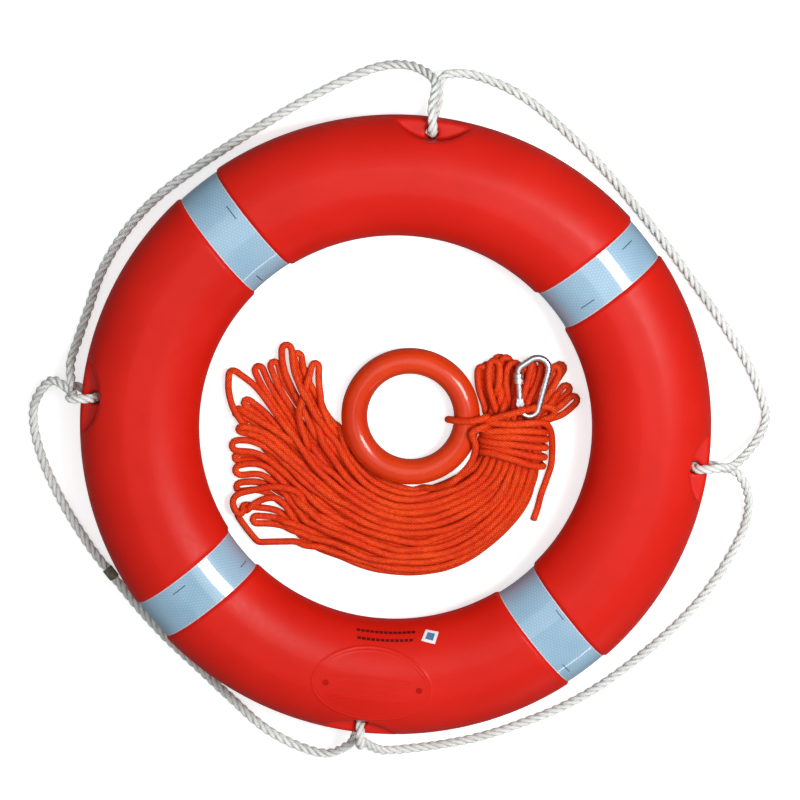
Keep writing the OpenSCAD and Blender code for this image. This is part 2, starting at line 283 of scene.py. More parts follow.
def tape_material(name):
    m = Nodes(name, Roughness=0.35, Coat_Weight=0.8, Coat_Roughness=0.06, Specular_IOR_Level=0.4)
    u, v = m.tube_place()
    # three crossed waves make the cells of the reflecting film
    pitch = 2 * math.pi / 0.0033
    waves = None
    for turn in (0, 60, 120):
        c, s = math.cos(math.radians(turn)) * pitch, math.sin(math.radians(turn)) * pitch
        wave = m.math("COSINE", m.math("ADD", m.math("MULTIPLY", u, c), m.math("MULTIPLY", v, s)))
        waves = wave if waves is None else m.math("ADD", waves, wave)
    cells = m.ramp(waves, -1.2, 1.4)
    edge = m.ramp(m.math("ABSOLUTE", v), 0.0238, 0.0241)
    patchy = m.ramp(m.noise(18.0, 3.0), 0.3, 0.72)
    dark = m.mix(patchy, rgb(0.21, 0.36, 0.49), rgb(0.27, 0.43, 0.56))
    film = m.mix(cells, dark, m.mix(patchy, rgb(0.27, 0.44, 0.57), rgb(0.34, 0.51, 0.64)))
    m.set(Base_Color=m.mix(edge, film, rgb(0.50, 0.58, 0.63)))
    m.set(Roughness=m.ramp(cells, 0.0, 1.0, 0.32, 0.42))
    m.set(Normal=m.bump(cells, 0.00004, 0.4))
    return m.material


def rope_material(name):
    m = Nodes(name, Roughness=0.75, Specular_IOR_Level=0.25)
    u, v = m.tube_place()
    # yarns run round each strand against the lay
    lengthwise, round_it = m.math("MULTIPLY", u, 2600.0), m.math("MULTIPLY", v, 2 * math.pi * 9)
    yarn = m.math("SINE", m.math("ADD", lengthwise, round_it))
    # painted shade: the three grooves between strands are darkened towards grey
    groove_shade = m.math("COSINE", m.math("MULTIPLY", v, 2 * math.pi * 3))
    grubby = m.ramp(m.noise(28.0, 4.0), 0.4, 0.72)
    base = m.mix(grubby, rgb(0.84, 0.86, 0.83), rgb(0.70, 0.72, 0.68))
    # painted shade in the grooves between the strands
    base = m.mix(m.ramp(groove_shade, -1.0, -0.35, 0.5, 0.0), base, rgb(0.40, 0.41, 0.38))
    # painted shade: the base darkens in the troughs between the yarns
    m.set(Base_Color=m.mix(m.ramp(yarn, -1.0, 0.2, 0.25, 0.0), base, rgb(0.48, 0.49, 0.46)))
    height = m.math("ADD", m.math("MULTIPLY", yarn, 0.5), m.noise(1500.0, 2.0))
    m.set(Normal=m.bump(height, 0.0004, 0.8))
    return m.material


def line_material(name, deep, bright, groove_shade):
    m = Nodes(name, Roughness=0.62, Specular_IOR_Level=0.22)
    u, v = m.tube_place()
    # two families of plaits wind round the line in opposite ways
    along, round_it = m.math("MULTIPLY", u, math.pi / 0.0042), m.math("MULTIPLY", v, math.pi * 8)
    one = m.math("ABSOLUTE", m.math("SINE", m.math("ADD", along, round_it)))
    two = m.math("ABSOLUTE", m.math("SINE", m.math("SUBTRACT", along, round_it)))
    plait = m.math("MAXIMUM", one, two)
    hair = m.noise(1800.0, 2.0)
    faded = m.ramp(m.noise(35.0, 4.0), 0.38, 0.7)
    # random darker mottling, towards the same dark red that is painted as shade between the plaits
    mottled = m.ramp(m.noise(300.0, 2.0), 0.42, 0.62, 0.0, 0.45)
    base = m.mix(mottled, m.mix(faded, deep, bright), groove_shade)
    # painted shade: the gaps between the plaits take the dark groove shade colour
    m.set(Base_Color=m.mix(m.ramp(plait, 0.6, 1.0, 0.9, 0.0), base, groove_shade))
    m.set(Normal=m.bump(m.math("ADD", plait, m.math("MULTIPLY", hair, 0.4)), 0.0005, 0.9))
    return m.material


def gloss_material(name):
    m = Nodes(name, Roughness=0.25, Coat_Weight=0.35, Coat_Roughness=0.08, Specular_IOR_Level=0.2)
    patchy = m.ramp(m.noise(14.0, 3.0), 0.35, 0.7)
    m.set(Base_Color=m.mix(patchy, rgb(0.59, 0.030, 0.002), rgb(0.68, 0.044, 0.004)))
    m.set(Roughness=m.ramp(m.noise(60.0, 4.0), 0.35, 0.7, 0.2, 0.3))
    m.set(Normal=m.bump(m.noise(70.0, 2.0), 0.0002, 0.5))
    return m.material


def steel_material(name, tint, rough):
    m = Nodes(name, Metallic=1.0, Roughness=rough)
    brushed = m.noise(400.0, 3.0)
    worn = m.ramp(m.noise(160.0, 4.0), 0.45, 0.75)
    m.set(Base_Color=m.mix(worn, rgb(*tint), rgb(*(0.88 * c for c in tint))))
    m.set(Roughness=m.ramp(brushed, 0.3, 0.7, rough - 0.06, rough + 0.1))
    m.set(Normal=m.bump(brushed, 0.00001, 0.3))
    return m.material


def plain_material(name, low, high, rough, scale=60.0, depth=0.0001, **more):
    m = Nodes(name, Roughness=rough, **more)
    spots = m.noise(scale, 4.0)
    m.set(Base_Color=m.mix(m.ramp(spots, 0.35, 0.7), rgb(*low), rgb(*high)))
    m.set(Normal=m.bump(spots, depth, 0.6))
    return m.material


SHELL = shell_material("shell_skin")
TAPE = tape_material("reflective_film")
ROPE = rope_material("laid_rope")
# the last colour is the painted shade between the plaits, and also the dark of the random mottling
LINE = line_material("plaited_line", rgb(0.84, 0.052, 0.003), rgb(1.0, 0.100, 0.006), rgb(0.45, 0.012, 0.001))
GLOSS = gloss_material("hand_ring_plastic")
STEEL = steel_material("plated_steel", (0.74, 0.77, 0.80), 0.25)
SLEEVE = steel_material("sleeve_steel", (0.68, 0.71, 0.74), 0.28)
FOAM = plain_material("foam", (0.70, 0.62, 0.45), (0.78, 0.70, 0.55), 0.9, 300.0, 0.0004)
PLUG = plain_material(
    "plug_plastic", (0.36, 0.006, 0.003), (0.42, 0.008, 0.004), 0.5, Specular_IOR_Level=0.08
)
STICKER = plain_material("sticker_film", (0.76, 0.79, 0.82), (0.83, 0.85, 0.87), 0.35, 120.0, 0.00003)
STICKER_MARK = plain_material("sticker_mark", (0.06, 0.16, 0.30), (0.08, 0.20, 0.36), 0.4)
TAPE_MARK = plain_material("tape_mark", (0.05, 0.08, 0.11), (0.08, 0.11, 0.15), 0.4)
PRINT = plain_material("print_mark", (0.09, 0.004, 0.003), (0.14, 0.006, 0.004), 0.5, Specular_IOR_Level=0.1)
WHIPPING = plain_material("whipping_twine", (0.10, 0.09, 0.06), (0.26, 0.24, 0.18), 0.85, 260.0, 0.0004)

# ---- grab line route, as in the CAD source ----
ROPE_Z = ROPE_D / 2 + 0.5
LOOP_RIGHT_TOP = [
    (414, 28, 24), (424, 55, 8), (414, 83, ROPE_Z), (392, 119, ROPE_Z), (361, 157, ROPE_Z),
    (322, 200, ROPE_Z), (282, 242, ROPE_Z), (240, 283, ROPE_Z), (197, 322, ROPE_Z),
    (151, 357, ROPE_Z), (103, 388, ROPE_Z), (63, 403, 8), (30, 409, 24),
]
LOOP_TOP_LEFT = [
    (-30, 411, 24), (-64, 405, 8), (-104, 384, ROPE_Z), (-142, 359, ROPE_Z), (-184, 328, ROPE_Z),
    (-226, 295, ROPE_Z), (-268, 259, ROPE_Z), (-306, 221, ROPE_Z), (-335, 179, ROPE_Z),
    (-355, 134, ROPE_Z), (-366, 88, ROPE_Z), (-374, 52, 10), (-378, 28, 24),
]
LOOP_LEFT_BOTTOM = [
    (-397, 6, 26), (-415, -22, 12), (-415, -52, ROPE_Z), (-401, -92, ROPE_Z), (-372, -142, ROPE_Z),
    (-332, -193.5, 7.6), (-286, -241.5, 7.6), (-262, -265, 7.2), (-234, -290, ROPE_Z),
    (-195, -320, ROPE_Z), (-154, -352, ROPE_Z), (-110, -384, ROPE_Z), (-67, -401, 8.4), (-31, -401, 22),
]
LOOP_BOTTOM_RIGHT = [
    (30, -390, 22), (65, -388, 8.4), (106, -378, ROPE_Z), (149, -363, ROPE_Z), (192, -342, ROPE_Z),
    (236, -317, ROPE_Z), (277, -286, ROPE_Z), (316, -248, ROPE_Z), (352, -207, ROPE_Z),
    (382, -164, ROPE_Z), (404, -119, ROPE_Z), (418, -73, 8.4), (414, -33, 24),
]
KNOT_C = (393, 403, 373, 377)
# Way through an eyelet: distance out from the hole, sideways, height from the middle of the web
EYELET_TURN = [
    (30, -4, -22), (15, -1, -24), (4, 0, -22), (0, 0, -12), (0, 0, 0),
    (0, 0, 12), (4, 0, 22), (15, 1, 24), (28, 3, 19),
]
WHIPPING_AFTER, WHIPPING_L = 5, 14


def eyelet_point(k, out, side, up):
    a = math.radians(90 * k)
    r = HOLE_C + out
    return (r * math.cos(a) - side * math.sin(a), r * math.sin(a) + side * math.cos(a), MID_Z + up)


def eyelet_route(k):
    out = KNOT_C[k] - HOLE_C
    return (
        [eyelet_point(k, out, -5, -14)]
        + [eyelet_point(k, *q) for q in EYELET_TURN]
        + [eyelet_point(k, out - 4, 3, -3)]
    )


def whipping_place():
    a, b = (np.array(LOOP_LEFT_BOTTOM[WHIPPING_AFTER + k], float) for k in (0, 1))
    return (a + b) / 2, (b - a) / np.linalg.norm(b - a)


def grab_line_route():
    middle, way = whipping_place()
    return (
        [tuple(middle + 1.5 * way)]
        + LOOP_LEFT_BOTTOM[WHIPPING_AFTER + 1 :]
        + eyelet_route(3)
        + LOOP_BOTTOM_RIGHT
        + eyelet_route(0)
        + LOOP_RIGHT_TOP
        + eyelet_route(1)
        + LOOP_TOP_LEFT
        + eyelet_route(2)
        + LOOP_LEFT_BOTTOM[: WHIPPING_AFTER + 1]
        + [tuple(middle - 1.5 * way)]
    )


LAY_LENGTH, ROPE_STEP, ROPE_SIDES = 33.0, 2.0, 24


def three_strand(angle, along):
    """Outline of a rope of three round strands."""
    off, strand = ROPE_D * 0.24, ROPE_D * 0.26
    a = (angle + math.pi / 3) % (2 * math.pi / 3) - math.pi / 3
    return off * np.cos(a) + np.sqrt(strand**2 - (off * np.sin(a)) ** 2)


def make_grab_line():
    path = smooth_route(grab_line_route(), ROPE_STEP)
    rope = add_tube(
        "grab_line", path, three_strand, ROPE_SIDES, ROPE, "lifebuoy", twist=2 * math.pi / LAY_LENGTH
    )
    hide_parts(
        *[f"grab_line_loop_{k}" for k in range(1, 5)], *[f"grab_line_turn_{k}" for k in range(1, 5)]
    )
    return rope, path


def make_whipping():
    middle, way = whipping_place()
    half = WHIPPING_L / 2
    route = np.array([middle + way * s for s in np.linspace(-half, half, 71)])
    turns, wide = 9, 5.9
    piece = add_tube(
        "grab_line_whipping_twine",
        route,
        lambda angle, along: wide + 0.5 * np.abs(np.sin(math.pi * turns * along / WHIPPING_L + angle / 2)),
        32,
        WHIPPING,
        "lifebuoy",
    )
    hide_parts("grab_line_whipping")
    return piece


grab_line, grab_path = make_grab_line()
whipping = make_whipping()

# ---- heaving line ----
LINE_R = LINE_D / 2
# Legs of the hank lie in rows: height of the row, how many lie side by side, and the share of the width
# that they fill
BOUND_ROWS = [(11.8, 8, 0.9), (19.0, 9, 1.0), (26.2, 9, 1.0), (33.2, 8, 0.88)]
SPREAD_ROWS = [(4.6, 12, 1.0), (11.8, 12, 0.96), (18.6, 10, 0.8)]
# Cross-lines of the hank, its inner and outer edge at each, from the binding round to the fan
CROSS_LINES = [
    ((107, 17), (166, 20)), ((107, -3), (167, -8)), ((105, -24), (168, -37)), ((97, -45), (162, -72)),
    ((80, -60), (151, -98)), ((60, -70), (130, -128)), ((40, -76), (99, -156)), ((18, -78), (60, -173)),
    ((-6, -75), (24, -178)), ((-26, -64), (-14, -175)), ((-42, -47), (-52, -168)), ((-58, -24), (-88, -161)),
]
BOUND_SHARE = [1, 1, 1, 0.5] + [0] * 8
# Bights at the left: tip x, y, z, way it points, width, then its two legs, counted from the inner edge
LEFT_BIGHTS = [
    (-100, 61, 19, 98, 8, 0, 9),
    (-123, 68, 8, 112, 9, 1, 2),
    (-136, 77, 17, 104, 14, 3, 6),
    (-113, 50, 6, 108, 9, 4, 7),
    (-149, 55, 15, 116, 10, 5, 8),
    (-167, 47, 8, 122, 11, 10, 13),
    (-196, 39, 17, 126, 12, 15, 21),
    (-187, -8, 7, 160, 9, 11, 16),
    (-178, 4, 5, 150, 9, 12, 17),
    (-181, -28, 17, 172, 9, 14, 18),
    (-186, -49, 15, 180, 15, 19, 22),
    (-182, -64, 6, 184, 9, 20, 24),
    (-179, -78, 16, 188, 15, 23, 27),
    (-176, -99, 5, 188, 12, 25, 28),
    (-176, -120, 19, 205, 26, 26, 32),
    (-171, -142, 10, 200, 32, 29, 33),
    (-153, -135, 5, 183, 10, 30, 31),
]
# Places a leg passes on the way into its bight and out of it, by the number of the bight
STRAY = {
    0: ([(-84, 2, 19), (-92, 30, 19)], [(-109, 22, 17), (-111, -8, 17)]),
    6: ([(-134, -10, 18), (-166, 24, 18)], [(-196, 16, 14), (-186, -8, 13)]),
    14: (
        [(-104, -94, 23), (-128, -90, 23), (-154, -98, 21)],
        [(-166, -122, 14), (-148, -120, 12), (-122, -122, 10)],
    ),
    15: ([(-128, -104, 17), (-156, -118, 15)], [(-151, -160, 8), (-120, -158, 6)]),
}
# Bights at the right, each from one left bight's second leg to the next one's first
RIGHT_BIGHTS = [
    (91, 78, 15, 101, 13), (98, 81, 5, 98, 13), (104, 88, 19, 96, 14), (110, 91, 8, 94, 14),
    (117, 92, 14, 92, 14), (128, 88, 19, 89, 17), (124, 80, 5, 88, 15), (137, 83, 12, 88, 15),
    (146, 89, 6, 86, 15), (154, 95, 17, 83, 14), (161, 84, 5, 79, 15), (170, 86, 12, 74, 15),
    (177, 89, 18, 71, 13), (183, 90, 9, 66, 11), (194, 66, 6, 56, 10), (204, 55, 16, 48, 12),
]


def leg_slots(rows):
    """Share of the width, and height, of every leg, from the inner edge out, low ones first in each few."""
    slots = sorted((0.5 + ((i + 0.5) / n - 0.5) * fill, z) for z, n, fill in rows for i in range(n))
    return [q for k in range(0, len(slots), 4) for q in sorted(slots[k : k + 4], key=lambda q: q[1])]


BOUND_SLOTS, SPREAD_SLOTS = leg_slots(BOUND_ROWS), leg_slots(SPREAD_ROWS)


def leg_points(leg, rng):
    points = []
    for (inner, outer), bound in zip(CROSS_LINES, BOUND_SHARE):
        share = SPREAD_SLOTS[leg][0] + (BOUND_SLOTS[leg][0] - SPREAD_SLOTS[leg][0]) * bound
        z = SPREAD_SLOTS[leg][1] + (BOUND_SLOTS[leg][1] - SPREAD_SLOTS[leg][1]) * bound
        share += rng.uniform(-0.018, 0.018) * (1 - bound)
        x, y = np.array(inner, float) + (np.array(outer, float) - inner) * share
        points.append((x, y, z + rng.uniform(-0.5, 0.5) * (1 - bound)))
    return points


def bight_points(x, y, z, way, width, first, second, lead):
    """Round the end of a bight, entered on the side where the first leg lies."""
    a = math.radians(way)
    out, left = np.array([math.cos(a), math.sin(a), 0]), np.array([-math.sin(a), math.cos(a), 0])
    tip = np.array([x, y, z], float)
    side = 1 if (np.array(first) - np.array(second)) @ left > 0 else -1
    h = width / 2 - 1
    shoulder, near, back = tip - out * 0.3 * h, tip - out * h, tip - out * (h + lead)
    rise = np.array([0, 0, 1.5])
    return [
        back + left * side * h * 0.95 + rise, near + left * side * h, shoulder + left * side * h * 0.8,
        tip,
        shoulder - left * side * h * 0.8, near - left * side * h, back - left * side * h * 0.95 + rise,
    ]


HITCH = [
    (103, 21, 28), (102, 24, 36), (96, 22, 41), (84, 18, 43.4), (70, 16, 39), (61, 14.5, 30), (59, 13, 21),
    (64, 11, 9), (78, 9.5, 4.4), (94, 9, 6), (104, 10, 14), (107, 12, 25), (103, 13, 36), (95, 11, 44),
    (87, 6, 46), (88, 1, 44), (92, -6, 40), (94, -16, 36.5), (91, -32, 33), (82, -47, 31), (70, -60, 30),
]
EYE_PASS = [
    (177, 30, 20), (179, 39, 24), (170, 42, 26), (159, 40.5, 27), (150, 38.5, 33), (140, 36.5, 42),
    (127, 31, 42), (114, 25, 38), (107, 21, 36), (101, 18, 31),
    (98, 13, 27), (99.5, 9, 31),
]
# Turns of the binding: height along the hank at its left and its right side
TURNS = [(8, 13), (1, 4), (-6, -6), (-12, -17), (-17, -28)]
UNDER_Z, OVER_Z, LEFT_X, RIGHT_X = 4.4, 41.5, 99, 175
TAIL = [
    (101, 15, 9), (100.5, 17, 22), (107, 18, 36), (133, 20, 41.8), (156, 24, 40), (170, 24, 35),
    (177.5, 15, 26), (181.5, 2, 17), (184, -14, 9), (185, -30, 5.2), (182, -47, 4.4), (178, -66, 4.4),
    (176, -82, 4.4), (173, -97, 4.4),
]


def binding_route():
    route = []
    for turn, (left_y, right_y) in enumerate(TURNS):
        next_y = TURNS[turn + 1][0] if turn + 1 < len(TURNS) else 13
        route += [
            (LEFT_X + 4, left_y, 36), (LEFT_X + 13, left_y + 0.3, OVER_Z - 1),
            (136, (left_y + right_y) / 2 + 1.5, OVER_Z + 0.5), (RIGHT_X - 12, right_y + 0.6, OVER_Z - 1.5),
            (RIGHT_X - 2, right_y, 34), (RIGHT_X, right_y - 1, 22), (RIGHT_X - 3, right_y - 2, 10),
            (RIGHT_X - 16, (right_y + next_y) / 2, UNDER_Z), (LEFT_X + 18, next_y - 1, UNDER_Z),
            (LEFT_X + 4, next_y - 1, 9), (LEFT_X, next_y - 0.5, 22),
        ]
    return route[:-2]


# How freely each stretch moves while the line settles, from 0, fixed, to 1
LEG_FREE, BIGHT_FREE, BINDING_FREE = 1.0, 0.5, 0.3
# Straight run into a bight (mm), and the cross-line at which the tether joins the first leg
LEAD_LEFT, LEAD_RIGHT, FIRST_LEG_FROM = 26, 24, 7


def heaving_line_route():
    """Control points of the whole line, and how freely each one moves."""
    rng = random.Random(5)
    route, free = [], []

    def extend(points, share):
        route.extend(tuple(float(c) for c in p) for p in points)
        free.extend([share] * len(points))

    legs = [leg_points(leg, rng) for leg in range(len(SPREAD_SLOTS))]
    extend(HITCH, 0.0)
    for k, (x, y, z, way, width, one, two) in enumerate(LEFT_BIGHTS):
        extend(legs[one][FIRST_LEG_FROM:] if k == 0 else legs[one], LEG_FREE)
        into, out_of = STRAY.get(k, ([], []))
        extend(into, BIGHT_FREE)
        before, after = (into or legs[one])[-1], (out_of or legs[two][::-1])[0]
        bight = bight_points(x, y, z, way, width, before, after, LEAD_LEFT)
        extend(bight[1:-1] if into else bight, BIGHT_FREE)
        extend(out_of, BIGHT_FREE)
        extend(legs[two][::-1], LEG_FREE)
        if k < len(RIGHT_BIGHTS):
            following = legs[LEFT_BIGHTS[k + 1][5]]
            extend(bight_points(*RIGHT_BIGHTS[k], legs[two][0], following[0], LEAD_RIGHT), BIGHT_FREE)
    extend(EYE_PASS, 0.0)
    extend(binding_route(), BINDING_FREE)
    extend(TAIL, 0.0)
    return route, free


def hand_ring_matrix():
    tilt = math.asin((HAND_HIGH_Z - HAND_LOW_Z) / (2 * HAND_R))
    place = Matrix.Translation((*HAND_C, (HAND_LOW_Z + HAND_HIGH_Z) / 2))
    return place @ Matrix.Rotation(-tilt, 4, "Y")


# Spacing of the line's places while it settles and after, and the radius that it is kept from bending
# tighter than, which some folds still do (mm)
LINE_STEP, FINE_STEP, TIGHTEST_BEND = 4.0, 3.0, 5.0
SETTLE_ROUNDS, QUICK_ROUNDS = 150, 12
# In each round: the drop (mm), the share by which a bend is smoothed, and the shares by which a leg and a
# bight are pulled back to their own places. Turns lie a little closer than a diameter.
DROP, SMOOTHING, LEG_PULL, BIGHT_PULL, CLOSE = 0.10, 0.22, 0.01, 0.07, 0.97
# The carabiner lies over this part of the hank: lowest and highest x, lowest y, and the height it leaves free
CARABINER_OVER, CARABINER_GAP = (122, 176, 26), 20.4
OPENING_R = 215


def settle(path, free, rounds):
    """Pushes the line's turns apart, onto and beside each other. Some crossings still overlap."""
    p = path.copy()
    count = len(p)
    step = length_of(path) / (count - 1)
    apart = int(math.ceil(1.7 * LINE_D / step))
    turn = np.array(hand_ring_matrix().inverted())
    back = np.linalg.inv(turn[:3, :3])
    weight = free[:, None]
    for round_no in range(rounds):
        if round_no % 3 == 0:
            square = (p**2).sum(1)
            near = square[:, None] + square[None, :] - 2 * p @ p.T < (LINE_D * 1.25) ** 2
            i, j = np.nonzero(np.triu(near, apart))
        gap = p[i] - p[j]
        far = np.linalg.norm(gap, axis=1)
        want = LINE_D * CLOSE
        push = np.clip(want - far, 0, None)[:, None] * gap / np.maximum(far, 1e-6)[:, None]
        total = free[i] + free[j] + 1e-9
        move, hits = np.zeros_like(p), np.ones(count)
        np.add.at(move, i, push * (free[i] / total)[:, None])
        np.add.at(move, j, -push * (free[j] / total)[:, None])
        np.add.at(hits, i, 0.35)
        np.add.at(hits, j, 0.35)
        p += move / hits[:, None] * 1.2
        p[:, 2] -= DROP * free
        # the line resists a tighter bend: places a few steps apart keep their chord
        for steps in (2, 3, 4):
            chord = 2 * TIGHTEST_BEND * math.sin(steps * LINE_STEP / 2 / TIGHTEST_BEND)
            gap = p[steps:] - p[:-steps]
            far = np.linalg.norm(gap, axis=1)
            push = np.clip(chord - far, 0, None)[:, None] * gap / np.maximum(far, 1e-6)[:, None] * 0.3
            p[steps:] += push * weight[steps:]
            p[:-steps] -= push * weight[:-steps]
        # the hand ring
        q = p @ turn[:3, :3].T + turn[:3, 3]
        flat = np.linalg.norm(q[:, :2], axis=1)
        ring = np.stack([q[:, 0] / flat * HAND_R, q[:, 1] / flat * HAND_R, 0 * flat], 1)
        out = q - ring
        reach = np.linalg.norm(out, axis=1)
        need = np.clip(HAND_TUBE_R + LINE_R + 0.1 - reach, 0, None)
        p += ((out / reach[:, None] * need[:, None]) @ back.T) * (weight > 0)
        # smoothing rounds the bends
        mean = (p[:-2] + p[2:]) / 2
        p[1:-1] += (mean - p[1:-1]) * SMOOTHING * weight[1:-1]
        # bights keep to their own places more than legs do
        pull = np.where(free > 0.9, LEG_PULL, BIGHT_PULL)[:, None]
        p[:, :2] += (path - p)[:, :2] * pull * (weight > 0)
        # the floor, the ring's opening, and the carabiner that lies on top
        p[:, 2] = np.maximum(p[:, 2], LINE_R + 0.3)
        x_low, x_high, y_low = CARABINER_OVER
        under = (p[:, 0] > x_low) & (p[:, 0] < x_high) & (p[:, 1] > y_low) & (free > 0)
        p[under, 2] = np.minimum(p[under, 2], CARABINER_GAP)
        out_r = np.linalg.norm(p[:, :2], axis=1)
        p[:, :2] *= np.minimum(1, OPENING_R / out_r)[:, None]
    return p


def make_heaving_line():
    points, point_free = heaving_line_route()
    path = smooth_route(points, LINE_STEP)
    # how free each place is comes from the nearest control points along the route
    marks = np.array(points)
    along_marks, j = [], 0
    for m in marks:
        window = path[j : j + 200]
        j += int(np.linalg.norm(window - m, axis=1).argmin())
        along_marks.append(j)
    free = np.interp(np.arange(len(path)), along_marks, point_free)
    path = settle(path, free, SETTLE_ROUNDS)
    fine = smooth_route(spaced(path, LINE_STEP), FINE_STEP)
    fine[:, 2] = np.maximum(fine[:, 2], LINE_R + 0.2)
    line = add_tube(
        "heaving_line", fine, lambda angle, along: LINE_R + 0 * along, 12, LINE, "line_kit"
    )
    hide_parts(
        "hand_ring_hitch", "hand_ring_tether", "heaving_line_bights_left", "heaving_line_bundle",
        "heaving_line_binding", "heaving_line_bights_right", "heaving_line_tail",
    )
    return line, fine


heaving_line, line_path = make_heaving_line()


# ---- ring shell ----
def oval_point(inset, angle):
    """Distance from the ring's axis and height of a point on the oval tube, moved in by inset."""
    half = MID_Z - inset
    r = TUBE_C + (TUBE_A - inset) * np.cos(angle)
    z = MID_Z + np.clip((TUBE_B - inset) * np.sin(angle), -half, half)
    return r, z


def smooth_max(a, b, k):
    h = np.clip(0.5 + 0.5 * (a - b) / k, 0, 1)
    return b + (a - b) * h + k * h * (1 - h)


VOXEL = 2.0
PLAQUE_C, PLAQUE_HALF = (6.5, -289), (68, 42.5)


def half_ring_field(x, y, z):
    """Distance to the moulded form, negative inside. z is measured from the middle of the ring."""
    rho = np.hypot(x, y)
    p = rho - TUBE_C
    k0 = np.sqrt((p / TUBE_A) ** 2 + (z / TUBE_B) ** 2)
    k1 = np.sqrt((p / TUBE_A**2) ** 2 + (z / TUBE_B**2) ** 2)
    tube = k0 * (k0 - 1) / np.maximum(k1, 1e-6)
    tube = smooth_max(tube, np.abs(z) - MID_Z, 1.0)
    ax, ay = np.abs(x), np.abs(y)
    fx, fy = np.maximum(ax, ay), np.minimum(ax, ay)
    from_tape = (fx - fy) / math.sqrt(2)
    form = smooth_max(tube, np.minimum(CHANNEL_HALF - from_tape, tube + CHANNEL_DEPTH), 2.6)
    wall = np.hypot(fx - POCKET_C, fy) - POCKET_R
    pocket = smooth_max(wall, WEB_HALF - z, 3.0)
    form = smooth_max(form, -pocket, 3.0)
    return smooth_max(form, ROPE_HOLE_R - np.hypot(fx - HOLE_C, fy), 2.5)


def half_shell_mesh():
    """Vertices and faces of the upper half, closed across the parting plane, with z from the middle."""
    xs = np.arange(-366, 366 + VOXEL, VOXEL, dtype=np.float32)
    zs = np.arange(-3 * VOXEL, MID_Z + 4 * VOXEL, VOXEL, dtype=np.float32)
    x, y, z = np.meshgrid(xs, xs, zs, indexing="ij")
    field = np.clip(half_ring_field(x, y, z), -8, 8).astype(np.float32)
    grid = openvdb.FloatGrid(8.0)
    grid.copyFromArray(field)
    points, quads = grid.convertToQuads(0.0)
    points = points * VOXEL + np.array([xs[0], xs[0], zs[0]])
    bm = bmesh.new()
    mesh = bpy.data.meshes.new("half")
    mesh.from_pydata(points.tolist(), [], quads.tolist())
    bm.from_mesh(mesh)
    bpy.data.meshes.remove(mesh)
    everything = bm.verts[:] + bm.edges[:] + bm.faces[:]
    bmesh.ops.bisect_plane(
        bm, geom=everything, dist=1e-4, plane_co=(0, 0, 0), plane_no=(0, 0, -1), clear_outer=True
    )
    rim = [e for e in bm.edges if e.is_boundary]
    # a fine groove where the halves meet
    for v in {v for e in rim for v in e.verts}:
        r = math.hypot(v.co.x, v.co.y)
        new_r = r + (0.5 if r < TUBE_C else -0.5)
        v.co.x *= new_r / r
        v.co.y *= new_r / r
        v.co.z = 0.05
    bmesh.ops.triangle_fill(bm, edges=rim, use_beauty=True)
    bmesh.ops.recalc_face_normals(bm, faces=bm.faces[:])
    return bm


def shell_object(name, node, bm, upper):
    mesh = bpy.data.meshes.new(name)
    bm.to_mesh(mesh)
    sign = 1 if upper else -1
    mesh.transform(Matrix.Diagonal((MM, MM, MM * sign, 1)))
    mesh.transform(Matrix.Translation((0, 0, MID_Z * MM)))
    if not upper:
        mesh.flip_normals()
    mesh.shade_smooth()
    mesh.set_sharp_from_angle(angle=math.radians(50))
    obj = bpy.data.objects.new(name, mesh)
    SCENE.collection.objects.link(obj)
    mesh.materials.append(SHELL)
    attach(obj, "lifebuoy")
    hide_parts(node)


def emboss_plaque(bm):
    """A raised oval line on the top half."""
    box = (PLAQUE_HALF[0] + 8, PLAQUE_HALF[1] + 8)

    def close(v):
        return abs(v.co.x - PLAQUE_C[0]) < box[0] and abs(v.co.y - PLAQUE_C[1]) < box[1] and v.co.z > 20

    edges = [e for e in bm.edges if close(e.verts[0]) and close(e.verts[1])]
    bmesh.ops.subdivide_edges(bm, edges=edges, cuts=1, use_grid_fill=True)
    bm.normal_update()
    for v in bm.verts:
        if not close(v):
            continue
        ex, ey = (v.co.x - PLAQUE_C[0]) / PLAQUE_HALF[0], (v.co.y - PLAQUE_C[1]) / PLAQUE_HALF[1]
        e = math.hypot(ex, ey)
        slope = math.hypot(ex / PLAQUE_HALF[0], ey / PLAQUE_HALF[1]) / max(e, 1e-6)
        away = (e - 1) / max(slope, 1e-6)
        line, inner_line = math.exp(-((away / 1.2) ** 2)), math.exp(-(((away + 3.5) / 1.1) ** 2))
        v.co += v.normal * (0.8 * line + 0.4 * inner_line)


def make_shells():
    bm = half_shell_mesh()
    shell_object("shell_lower_skin", "shell_bottom", bm, False)
    emboss_plaque(bm)
    shell_object("shell_upper_skin", "shell_top", bm, True)
    bm.free()


make_shells()


# ---- tapes, and thin patches laid on the ring ----
def tape_patch_point(inset, angle, off, k):
    """A point on tape k: angle round the tube, off sideways from the tape's middle."""
    r, z = oval_point(inset, angle)
    along = np.sqrt(r**2 - off**2)
    a = math.radians(45 + 90 * k)
    return np.stack(
        [along * math.cos(a) - off * math.sin(a), along * math.sin(a) + off * math.cos(a), z + 0 * off], -1
    )


